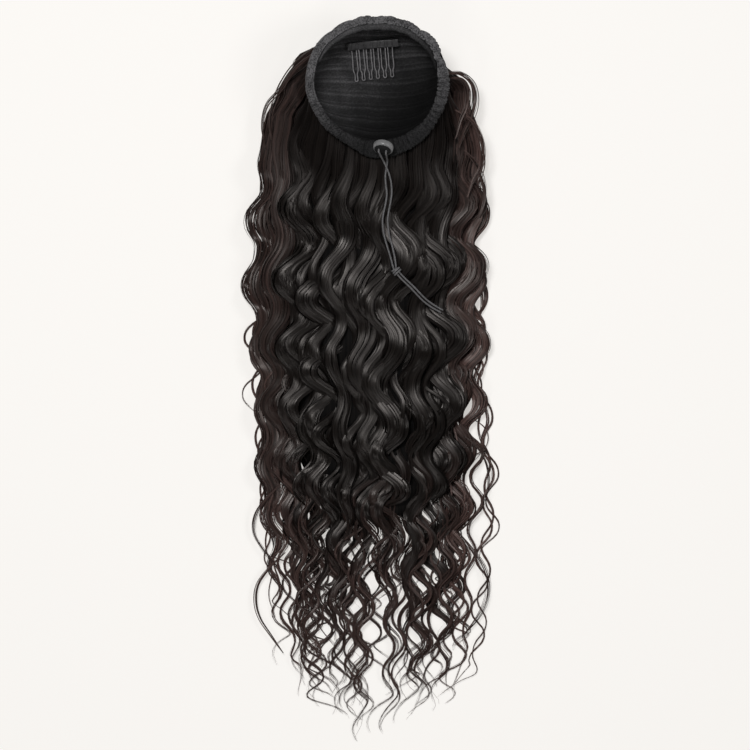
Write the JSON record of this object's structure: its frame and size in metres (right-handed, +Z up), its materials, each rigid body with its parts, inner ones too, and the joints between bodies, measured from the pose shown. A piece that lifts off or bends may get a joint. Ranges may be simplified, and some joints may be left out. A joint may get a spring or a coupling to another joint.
{
  "type": "drawstring ponytail hairpiece",
  "caption": "Long water-wave ponytail hairpiece lying on its back: open net cap with a puckered drawstring hem, a wire comb inside, a round cord lock and a knotted cord.",
  "frame": {"origin": "on the surface that the piece lies on, under the middle of its outer size", "axes": "+Y along the hair from the tips to the cap, +Z up out of the cap's mouth, +X to the right as seen from above with the cap at the top"},
  "size_m": [0.2213, 0.6479, 0.074],
  "materials": {
    "net_cloth": "dark grey stretch net with sewn rows",
    "hem_cloth": "dark grey knitted hem, puckered",
    "comb_metal": "dark grey coated wire",
    "lock_plastic": "glossy black",
    "cord_elastic": "braided grey elastic",
    "hair_fibre": "silky black-brown hair fibre"
  },
  "bodies": {
    "root": {"cap_net": "net_cloth", "drawstring_casing": "hem_cloth", "comb": "comb_metal", "cord_lock": "lock_plastic", "hair": "hair_fibre", "cord_left_strand": "cord_elastic", "cord_right_strand": "cord_elastic", "cord_knot": "cord_elastic", "cord_left_tail": "cord_elastic", "cord_right_tail": "cord_elastic"}
  },
  "joints": []
}
